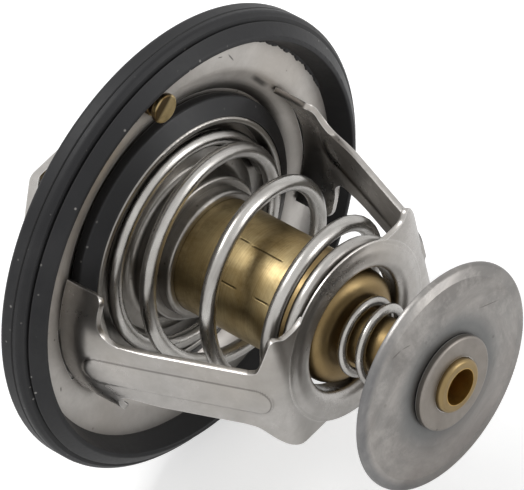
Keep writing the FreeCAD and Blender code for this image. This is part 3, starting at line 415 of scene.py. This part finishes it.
ELEMENT_BRASS = ((0.52, 0.415, 0.225), (0.32, 0.23, 0.10))
FRAME_STEEL = zinc_sheet(
    "frame steel", (0.50, 0.48, 0.46), (0.34, 0.325, 0.305), (0.22, 0.38), rib=RIB_SHADE_LINE)
PLATE_STEEL = zinc_sheet(
    "plate steel", (0.38, 0.365, 0.345), (0.22, 0.21, 0.195), (0.24, 0.42), edge=0.2)
SPRING_WIRE = spring_wire()
MATERIALS = {
    "flange": zinc_sheet(
        "flange steel", (0.60, 0.575, 0.545), (0.45, 0.425, 0.40), (0.34, 0.50), marks=FLANGE_MARKS),
    "rim_seal": rubber("rim rubber"),
    "lower_frame": FRAME_STEEL,
    "front_bridge": FRAME_STEEL,
    "piston": plain("piston steel", (0.7, 0.7, 0.7), 0.2, 1.0),
    "slip_disc": plain("slip disc", (0.8, 0.79, 0.75), 0.4),
    "rubber_plunger": rubber("plunger rubber", dust=0.0),
    "element_guide": brass("guide brass", *ELEMENT_BRASS),
    "piston_wiper": rubber("wiper rubber", dust=0.0),
    "diaphragm": rubber("diaphragm rubber", dust=0.0),
    "wax_charge": plain("wax", (0.72, 0.45, 0.28), 0.5),
    "element_case": brass("element brass", *ELEMENT_BRASS, scores=CASE_SCORES, dull_from=DULL_FROM),
    "valve_plate": PLATE_STEEL,
    "valve_seal": rubber("valve rubber", (0.010, 0.010, 0.011), dust=0.35, rough=(0.32, 0.48)),
    "valve_collar": PLATE_STEEL,
    "main_spring": SPRING_WIRE,
    "bypass_spring": SPRING_WIRE,
    "bypass_disc": disc_steel(),
    "retaining_washer": zinc_sheet(
        "washer steel", (0.30, 0.275, 0.25), (0.20, 0.18, 0.16), (0.38, 0.52)),
    "jiggle_pin": brass(
        "pin brass", (0.56, 0.44, 0.23), (0.34, 0.24, 0.10), turned=False, flank=PIN_SHADE_BAND),
}
for name, material in MATERIALS.items():
    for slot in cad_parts[name].material_slots:
        slot.material = material


# Mesh helpers, which take millimetres and make metres
def turned_point(x, radius, angle):
    """A point at a radius from the axis and an angle round it."""
    return Vector((x, radius * math.cos(angle), radius * math.sin(angle))) / 1000


def skin(mesh, loops, whole=False):
    """Faces from each loop of points to the next, closed at both ends or joined all the way round."""
    pairs = list(zip(loops, loops[1:])) + ([(loops[-1], loops[0])] if whole else [])
    for low, high in pairs:
        for corners in zip(low, low[1:] + low[:1], high[1:] + high[:1], high):
            mesh.faces.new(corners)
    if not whole:
        mesh.faces.new(loops[0][::-1])
        mesh.faces.new(loops[-1])


def piece_of(name, mesh, material, smooth=True):
    bmesh.ops.recalc_face_normals(mesh, faces=mesh.faces)
    data = bpy.data.meshes.new(name)
    mesh.to_mesh(data)
    mesh.free()
    piece = bpy.data.objects.new(name, data)
    bpy.context.scene.collection.objects.link(piece)
    data.materials.append(material)
    if smooth:
        data.shade_smooth()
    return piece


# Springs, wound here from their centre lines
STEPS_PER_TURN, SMOOTHINGS = 48, 14
MAIN_WIRE, BYPASS_WIRE = 2.25, 1.35


def spring_line(start, end, radii, turns, closed, phase, wire, growth=0.0, bulge=1.0):
    """Centre line of a wound wire: closed ends, a growing pitch between them and a cone that may bulge."""
    first, last = closed
    pitch = 1.04 * wire
    low, high = start + pitch * first, end - pitch * last
    count = math.ceil(turns * STEPS_PER_TURN)
    points = []
    for step in range(count + 1):
        turn = turns * step / count
        if turn < first:
            along = start + pitch * turn
        elif turn > turns - last:
            along = end - pitch * (turns - turn)
        else:
            part = (turn - first) / (turns - first - last)
            part = (part + growth * part * part) / (1 + growth)
            along = low + (high - low) * part
        radius = radii[0] + (radii[1] - radii[0]) * (turn / turns) ** bulge
        points.append(turned_point(along, radius, math.radians(phase) + 2 * math.pi * turn))
    for _ in range(SMOOTHINGS):
        inner = [(a + 2 * b + c) / 4 for a, b, c in zip(points, points[1:], points[2:])]
        points = [points[0], *inner, points[-1]]
    return points


def wire_mesh(name, points, wire, sides):
    """A round wire along the points, its cut ends bevelled a little."""
    half = wire / 2000
    bevel, cut_half = 0.14 * half, 0.82 * half
    rings = []
    for before, point, after in zip([points[0], *points], points, [*points[1:], points[-1]]):
        ahead = (after - before).normalized()
        side = ahead.cross(Vector((1, 0, 0))).normalized()
        rings.append((point, ahead, side, half))
    point, ahead, side, _ = rings[0]
    first_cut = (point - ahead * bevel, ahead, side, cut_half)
    point, ahead, side, _ = rings[-1]
    last_cut = (point + ahead * bevel, ahead, side, cut_half)
    mesh = bmesh.new()
    loops = []
    for point, ahead, side, reach in (first_cut, *rings, last_cut):
        up = side.cross(ahead)
        angles = (2 * math.pi * k / sides for k in range(sides))
        ways = (math.cos(a) * side + math.sin(a) * up for a in angles)
        loops.append([mesh.verts.new(point + reach * way) for way in ways])
    skin(mesh, loops)
    return piece_of(name, mesh, SPRING_WIRE)


main_line = spring_line(
    start=0.525, end=29.625, radii=(16.075, 11.175), turns=4.7, closed=(0.95, 1.45), phase=-2,
    wire=MAIN_WIRE, growth=0.25, bulge=1.6)
main_spring = wire_mesh("main_spring_wire", main_line, MAIN_WIRE, sides=28)
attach(main_spring, "housing")
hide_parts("main_spring")
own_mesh(main_spring)

bypass_line = spring_line(
    start=32.375, end=45.625, radii=(5.325, 5.325), turns=4.6, closed=(0.8, 0.8), phase=-45,
    wire=BYPASS_WIRE)
bypass_spring = wire_mesh("bypass_spring_wire", bypass_line, BYPASS_WIRE, sides=20)
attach(bypass_spring, "valve")
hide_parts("bypass_spring")
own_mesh(bypass_spring)


# Stamped frame: one sheet bent and pressed from foot to ring, in millimetres
SHEET = 0.85
LEAN = math.radians(19.3)
FLANGE_FACE, BEND, FOOT_TOP, EAR_FACE, RING_FACE = 0.6, 4.2, 6.8, 31.2, 31.7
CORNER_ROUND, BEND_ROUND = 4.6, 7.0
LEG_HALF = 5.2
# the foot's distance from the axis, the radius of its curve, its half width on each hand and its corners
FOOT_RADIUS, FOOT_CURVE, FOOT_HALVES = 24.9, 17.5, {1: 10.33, -1: 11.45}
FOOT_SWEEP, FOOT_END_ROUND = 3.2, 1.0
# the sheet turns from flat to curved between these heights, and stands more upright towards the foot's ends
CURVED, FLAT = 5.0, 15.0
UPRIGHT_SHARE, UPRIGHT_HALF = 0.8, 9.5
# an ear's edge as (run from the axis, half width): the slanted sweep, and the notch on the pin's side
EAR_OUTLINES = {
    1: (
        (7.9, 9.9), (9.5, 9.9), (12.0, 9.85), (13.5, 9.8), (14.9, 9.0), (16.3, 7.6), (17.6, 6.25),
        (18.9, 5.45), (20.6, LEG_HALF),
    ),
    -1: (
        (7.9, 9.9), (10.0, 9.6), (12.0, 9.8), (13.3, 10.6), (14.3, 10.5), (15.1, 9.2), (16.2, 7.0),
        (17.0, 5.7), (18.4, LEG_HALF),
    ),
}
EAR_START, EAR_END = 12.7, 19.5
RING_HOLE, RING_EDGE, RING_NECK, NECK_END, HOLE_ROUND = 8.9, 13.1, 9.9, 28.3, 1.5
# the ring's rounded shoulder as (below its face, inside its edge)
RING_SHOULDER = ((0.55, 0.0), (0.5, 0.06), (0.47, 0.3), (0.36, 0.7), (0.17, 1.1), (0.04, 1.5), (0.0, 1.9))
RIB_HALF, RIB_HEIGHT, RIB_FLANK, RIB_START, RIB_FOOT = 2.3, 0.3, 0.2, 15.7, 4.3
TAB_ANGLE, TAB_START, TAB_END, TAB_INSET = 11, 0.5, -2.7, 0.02
CHAMFER, EDGE_PROUD = 0.09, 0.05
COLUMNS = 56

CORNER_TURN = math.pi / 2 - LEAN
CORNER_CUT = CORNER_ROUND * math.tan(CORNER_TURN / 2)
BEND_CUT = BEND_ROUND * math.tan(LEAN / 2)
BEND_FOOT = BEND - BEND_CUT
FLAT_END = FOOT_RADIUS - math.tan(LEAN) * (EAR_FACE - BEND) - CORNER_CUT
ARC_END = FLAT_END + CORNER_ROUND * CORNER_TURN
LEG_TOP = (
    EAR_FACE - CORNER_ROUND * (1 - math.cos(CORNER_TURN)),
    FLAT_END + CORNER_ROUND * math.sin(CORNER_TURN),
)
LEG_END = ARC_END + (EAR_FACE - BEND) / math.cos(LEAN) - CORNER_CUT - BEND_CUT
BEND_END = LEG_END + BEND_ROUND * LEAN
RUN_END = BEND_END + BEND - BEND_CUT - FLANGE_FACE


def frame_profile(run):
    """A point (x, y) of the outer face on its middle line, by the run along it from the axis."""
    if run <= FLAT_END:
        return EAR_FACE, run
    if run <= ARC_END:
        angle = (run - FLAT_END) / CORNER_ROUND
        return EAR_FACE - CORNER_ROUND * (1 - math.cos(angle)), FLAT_END + CORNER_ROUND * math.sin(angle)
    if run <= LEG_END:
        return LEG_TOP[0] - (run - ARC_END) * math.cos(LEAN), LEG_TOP[1] + (run - ARC_END) * math.sin(LEAN)
    if run <= BEND_END:
        angle = (BEND_END - run) / BEND_ROUND
        return BEND_FOOT + BEND_ROUND * math.sin(angle), FOOT_RADIUS - BEND_ROUND * (1 - math.cos(angle))
    return BEND_FOOT - (run - BEND_END), FOOT_RADIUS


def run_on_leg(x):
    return ARC_END + (LEG_TOP[0] - x) / math.cos(LEAN)


def eased(low, high, amount):
    """From 0 at low to 1 at high, smooth at both ends."""
    part = min(max((amount - low) / (high - low), 0.0), 1.0)
    return part * part * (3 - 2 * part)


def frame_skin(run, z):
    """The outer face: flat on the ears and legs, round the axis and more upright at the feet."""
    x, y = frame_profile(run)
    round_part = 1 - eased(CURVED, FLAT, x)
    sag = FOOT_CURVE - math.sqrt(FOOT_CURVE ** 2 - z * z)
    upright = UPRIGHT_SHARE * eased(LEG_HALF, UPRIGHT_HALF, abs(z))
    return Vector((x, y + round_part * (upright * (FOOT_RADIUS - y) - sag), z))


def rib_rise(run, z):
    """How far the rib stands out of the leg, with round ends on the ear and at the foot."""
    beyond = max(RIB_START + RIB_HALF - run, run - run_on_leg(RIB_FOOT) + RIB_HALF, 0.0)
    return RIB_HEIGHT * eased(-RIB_FLANK, RIB_FLANK, RIB_HALF - math.hypot(z, beyond))


def frame_point(run, z, depth):
    """A point of the sheet at a depth under its outer face."""
    step = 0.02
    ahead = frame_skin(run + step, z) - frame_skin(run - step, z)
    aside = frame_skin(run, z + step) - frame_skin(run, z - step)
    outward = ahead.cross(aside).normalized()
    return frame_skin(run, z) + outward * (rib_rise(run, z) - depth)


def through(points, count):
    """A smooth curve through points, each gap cut into a count of steps."""
    line = [Vector(point) for point in points]
    line = [2 * line[0] - line[1], *line, 2 * line[-1] - line[-2]]
    curve = [tuple(line[1])]
    for a, b, c, d in zip(line, line[1:], line[2:], line[3:]):
        for step in range(1, count + 1):
            t = step / count
            curve.append(tuple((2 * b + (c - a) * t + (2 * a - 5 * b + 4 * c - d) * t * t
                                + (3 * b - a - 3 * c + d) * t * t * t) / 2))
    return curve


def frame_edge(hand, side):
    """The sheet's edge on one hand as (run, half width), with the run of the middle line beside it."""
    half = FOOT_HALVES[hand]
    top = run_on_leg(FOOT_TOP)
    sweep_start, sweep_end = top - FOOT_SWEEP, LEG_HALF + FOOT_SWEEP
    ear = through(EAR_OUTLINES[-hand * side], 5)
    edge = [(place, EAR_START + (EAR_END - EAR_START) * k / (len(ear) - 1)) for k, place in enumerate(ear)]
    # each station: place on the edge, the middle line's run, centre of the arc to it and steps to it
    stations = (
        (ear[-1], EAR_END, None, 1),
        ((sweep_start, LEG_HALF), sweep_start, None, 60),
        ((top, sweep_end), top - 1.0, (sweep_start, sweep_end), 14),
        ((top, half - FOOT_END_ROUND), top + 0.2, None, 6),
        ((top + FOOT_END_ROUND, half), top + 1.2, (top + FOOT_END_ROUND, half - FOOT_END_ROUND), 6),
        ((RUN_END, half), RUN_END, None, 18),
    )
    for (start, low, *_), (end, high, centre, count) in zip(stations, stations[1:]):
        for step in range(1, count + 1):
            part = step / count
            if centre:
                angle = part * math.pi / 2
                cos, sin = math.cos(angle), math.sin(angle)
                place = tuple(c + (a - c) * cos + (b - c) * sin for a, b, c in zip(start, end, centre))
            else:
                place = tuple(a + (b - a) * part for a, b in zip(start, end))
            edge.append((place, low + (high - low) * part))
    return edge


def leg_rows(side):
    """Rows of (run, z) across one ear, leg and foot, from the middle line's run out to each edge's own."""
    rows = []
    for one, other in zip(frame_edge(1, side), frame_edge(-1, side)):
        row = []
        for column in range(COLUMNS + 1):
            across = 2 * column / COLUMNS - 1
            (run, half), middle = one if across > 0 else other
            row.append((middle + (run - middle) * across * across, half * across))
        rows.append(row)
    return rows


def add_leg(mesh, side):
    """One ear, leg and foot as a closed sheet with chamfered edges."""
    rows = leg_rows(side)

    def placed(point):
        return mesh.verts.new(Vector((point.x, side * point.y, side * point.z)) / 1000)

    outer = [[placed(frame_point(run, z, 0)) for run, z in row] for row in rows]
    inner = [[placed(frame_point(run, z, SHEET)) for run, z in row] for row in rows]
    for sheet_face, turned in ((outer, False), (inner, True)):
        for low, high in zip(sheet_face, sheet_face[1:]):
            for a, b, c, d in zip(low, low[1:], high[1:], high):
                mesh.faces.new((d, c, b, a) if turned else (a, b, c, d))
    # the edge all the way round as (row, column) with the neighbour just inside it
    last_row, last = len(rows) - 1, COLUMNS
    rim = [(0, column, 1, column) for column in range(last)]
    rim += [(row, last, row, last - 1) for row in range(last_row)]
    rim += [(last_row, column, last_row - 1, column) for column in range(last, 0, -1)]
    rim += [(row, 0, row, 1) for row in range(last_row, 0, -1)]
    loops = [[outer[row][column] for row, column, *_ in rim]]
    for depth in (CHAMFER, SHEET - CHAMFER):
        loop = []
        for row, column, near_row, near_column in rim:
            here = frame_point(*rows[row][column], depth)
            away = (here - frame_point(*rows[near_row][near_column], depth)).normalized()
            loop.append(placed(here + away * EDGE_PROUD))
        loops.append(loop)
    loops.append([inner[row][column] for row, column, *_ in rim])
    for low, high in zip(loops, loops[1:]):
        for corners in zip(low, high, high[1:] + high[:1], low[1:] + low[:1]):
            mesh.faces.new(corners)


def add_turned(mesh, section, first=0, last=360, steps=144):
    """A section of (x, radius) turned about the axis from one angle to another."""
    whole = last - first >= 360
    loops = []
    for step in range(steps if whole else steps + 1):
        angle = math.radians(first + (last - first) * step / steps)
        loops.append([mesh.verts.new(turned_point(x, radius, angle)) for x, radius in section])
    skin(mesh, loops, whole)


def tab_section():
    """The tab that goes on from a foot through the flange."""
    chamfer = 0.1
    outer, inner = FOOT_RADIUS - TAB_INSET, FOOT_RADIUS - SHEET + TAB_INSET
    return [
        (TAB_START, outer), (TAB_END + chamfer, outer), (TAB_END, outer - chamfer),
        (TAB_END, inner + chamfer), (TAB_END + chamfer, inner), (TAB_START, inner),
    ]


def ring_section():
    """The ring: rounded shoulder, hole drawn through into a neck, and flat back."""
    chamfer, root, back = 0.1, 0.3, RING_FACE - SHEET
    turns = [math.radians(90 + 90 * step / 12) for step in range(13)]
    centre_x, centre_radius = RING_FACE - HOLE_ROUND, RING_HOLE + HOLE_ROUND
    return [
        (back + chamfer, RING_EDGE),
        *((RING_FACE - below, RING_EDGE - inside) for below, inside in RING_SHOULDER),
        *((centre_x + HOLE_ROUND * math.sin(a), centre_radius + HOLE_ROUND * math.cos(a)) for a in turns),
        (NECK_END + chamfer, RING_HOLE), (NECK_END, RING_HOLE + chamfer),
        (NECK_END, RING_NECK - chamfer), (NECK_END + chamfer, RING_NECK),
        (back - root, RING_NECK), (back, RING_NECK + root), (back, RING_EDGE - chamfer),
    ]


def make_stamped_frame():
    mesh = bmesh.new()
    for side, middle in ((1, 0), (-1, 180)):
        add_leg(mesh, side)
        add_turned(mesh, tab_section(), middle - TAB_ANGLE, middle + TAB_ANGLE, 20)
    add_turned(mesh, ring_section())
    stamped = piece_of("stamped_frame", mesh, FRAME_STEEL)
    stamped.data.set_sharp_from_angle(angle=math.radians(38))
    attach(stamped, "housing")
    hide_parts("lower_frame")


make_stamped_frame()


# Ragged flash of rubber left on the flange, inside the rim
FLASH_FIRST, FLASH_LAST, FLASH_STEPS = 8, 50, 168
LIP_FOOT, FLASH_REACH, FLASH_LIFT = 28.9, 0.75, 0.01


def make_rim_flash():
    mesh = bmesh.new()
    loops = []
    for step in range(FLASH_STEPS + 1):
        part = step / FLASH_STEPS
        angle = math.radians(FLASH_FIRST + (FLASH_LAST - FLASH_FIRST) * part)
        swell = math.sin(math.pi * part) ** 0.5
        waves = 0.16 * math.sin(37 * part) + 0.10 * math.sin(83 * part + 1) + 0.05 * math.sin(171 * part)
        ragged = 0.30 + waves
        reach = LIP_FOOT - 0.05 - FLASH_REACH * swell * max(ragged, 0.05)
        section = (
            (FLANGE_FACE + FLASH_LIFT, reach), (FLANGE_FACE + 0.14, reach + 0.04),
            (FLANGE_FACE + 0.34, LIP_FOOT + 0.16), (FLANGE_FACE + FLASH_LIFT, LIP_FOOT + 0.16),
        )
        loops.append([mesh.verts.new(turned_point(x, radius, angle)) for x, radius in section])
    skin(mesh, loops)
    flash = piece_of("rim_flash", mesh, MATERIALS["rim_seal"], smooth=False)
    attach(flash, "housing")


make_rim_flash()


# Camera, fitted to the photograph
RIGHT = Vector((0.74068, 0.64897, -0.17389))
UP = Vector((-0.39578, 0.63060, 0.66761))
BACK = Vector((0.54291, -0.42566, 0.72392))
camera_data = bpy.data.cameras.new("camera")
camera_data.sensor_width = 36.0
camera_data.lens = 446.6
camera_data.clip_end = 20
camera = bpy.data.objects.new("camera", camera_data)
turn = Matrix((RIGHT, UP, BACK)).transposed().to_4x4()
camera.matrix_world = Matrix.Translation((0.48287, -0.36573, 0.63018)) @ turn
scene = bpy.context.scene
scene.collection.objects.link(camera)
scene.camera = camera


# Soft studio light
MIDDLE = Vector((0.01, 0.0, 0.0))


def panel(name, right, up, back, size, power):
    """A lamp placed along the photograph's own directions, in metres from the object's middle."""
    data = bpy.data.lights.new(name, "AREA")
    data.shape = "RECTANGLE"
    data.size, data.size_y = size
    data.energy = power
    lamp = bpy.data.objects.new(name, data)
    place = MIDDLE + RIGHT * right + UP * up + BACK * back
    lamp.location = place
    lamp.rotation_euler = (MIDDLE - place).to_track_quat("-Z", "Y").to_euler()
    scene.collection.objects.link(lamp)


panel("key", -0.55, 0.75, 0.55, (0.5, 0.35), 4.6)
panel("side", 0.9, 0.25, 0.35, (0.25, 0.7), 2.6)
panel("low", -0.35, -0.8, 0.5, (0.6, 0.2), 1.1)


# World and floor, which look white to the camera and light the object less
WORLD_LIGHT, WORLD_SEEN = 0.5, 1.0
SEEN_RAYS = ("Is Camera Ray", "Is Glossy Ray", "Is Transmission Ray")
FLOOR_COLOUR, FLOOR_SIZE, FLOOR_DROP = (0.86, 0.86, 0.86, 1), 3.0, 0.0005
FLOOR_GLOW = {"Is Camera Ray": 0.5, "Is Glossy Ray": 0.2}
WHITE = (1, 1, 1, 1)


def make_world():
    world = bpy.data.worlds.new("studio")
    scene.world = world
    world.use_nodes = True
    nodes, links = world.node_tree.nodes, world.node_tree.links
    nodes.clear()
    path = nodes.new("ShaderNodeLightPath")
    seen = path.outputs[SEEN_RAYS[0]]
    for ray in SEEN_RAYS[1:]:
        either = nodes.new("ShaderNodeMath")
        either.operation = "MAXIMUM"
        links.new(seen, either.inputs[0])
        links.new(path.outputs[ray], either.inputs[1])
        seen = either.outputs[0]
    blend = nodes.new("ShaderNodeMixShader")
    links.new(seen, blend.inputs[0])
    for strength, entry in zip((WORLD_LIGHT, WORLD_SEEN), blend.inputs[1:]):
        light = nodes.new("ShaderNodeBackground")
        light.inputs["Color"].default_value = WHITE
        light.inputs["Strength"].default_value = strength
        links.new(light.outputs[0], entry)
    out = nodes.new("ShaderNodeOutputWorld")
    links.new(blend.outputs[0], out.inputs["Surface"])


def floor_material():
    """Pale matt with a glow that only camera and glossy rays see."""
    material = bpy.data.materials.new("pale floor")
    material.use_nodes = True
    nodes, links = material.node_tree.nodes, material.node_tree.links
    nodes.clear()
    path = nodes.new("ShaderNodeLightPath")
    strength = None
    for ray, share in FLOOR_GLOW.items():
        part = nodes.new("ShaderNodeMath")
        part.operation = "MULTIPLY_ADD"
        links.new(path.outputs[ray], part.inputs[0])
        part.inputs[1].default_value = share
        part.inputs[2].default_value = 0.0
        if strength:
            links.new(strength, part.inputs[2])
        strength = part.outputs[0]
    matt = nodes.new("ShaderNodeBsdfDiffuse")
    matt.inputs["Color"].default_value = FLOOR_COLOUR
    glow = nodes.new("ShaderNodeEmission")
    glow.inputs["Color"].default_value = WHITE
    links.new(strength, glow.inputs["Strength"])
    both = nodes.new("ShaderNodeAddShader")
    links.new(matt.outputs[0], both.inputs[0])
    links.new(glow.outputs[0], both.inputs[1])
    out = nodes.new("ShaderNodeOutputMaterial")
    links.new(both.outputs[0], out.inputs["Surface"])
    return material


def make_floor():
    mesh = bmesh.new()
    bmesh.ops.create_grid(mesh, x_segments=2, y_segments=2, size=FLOOR_SIZE)
    bmesh.ops.translate(mesh, verts=mesh.verts, vec=(0, 0, cad_box[0][2] - FLOOR_DROP))
    floor = piece_of("floor", mesh, floor_material(), smooth=False)


make_world()
make_floor()
scene.view_settings.view_transform = "Standard"
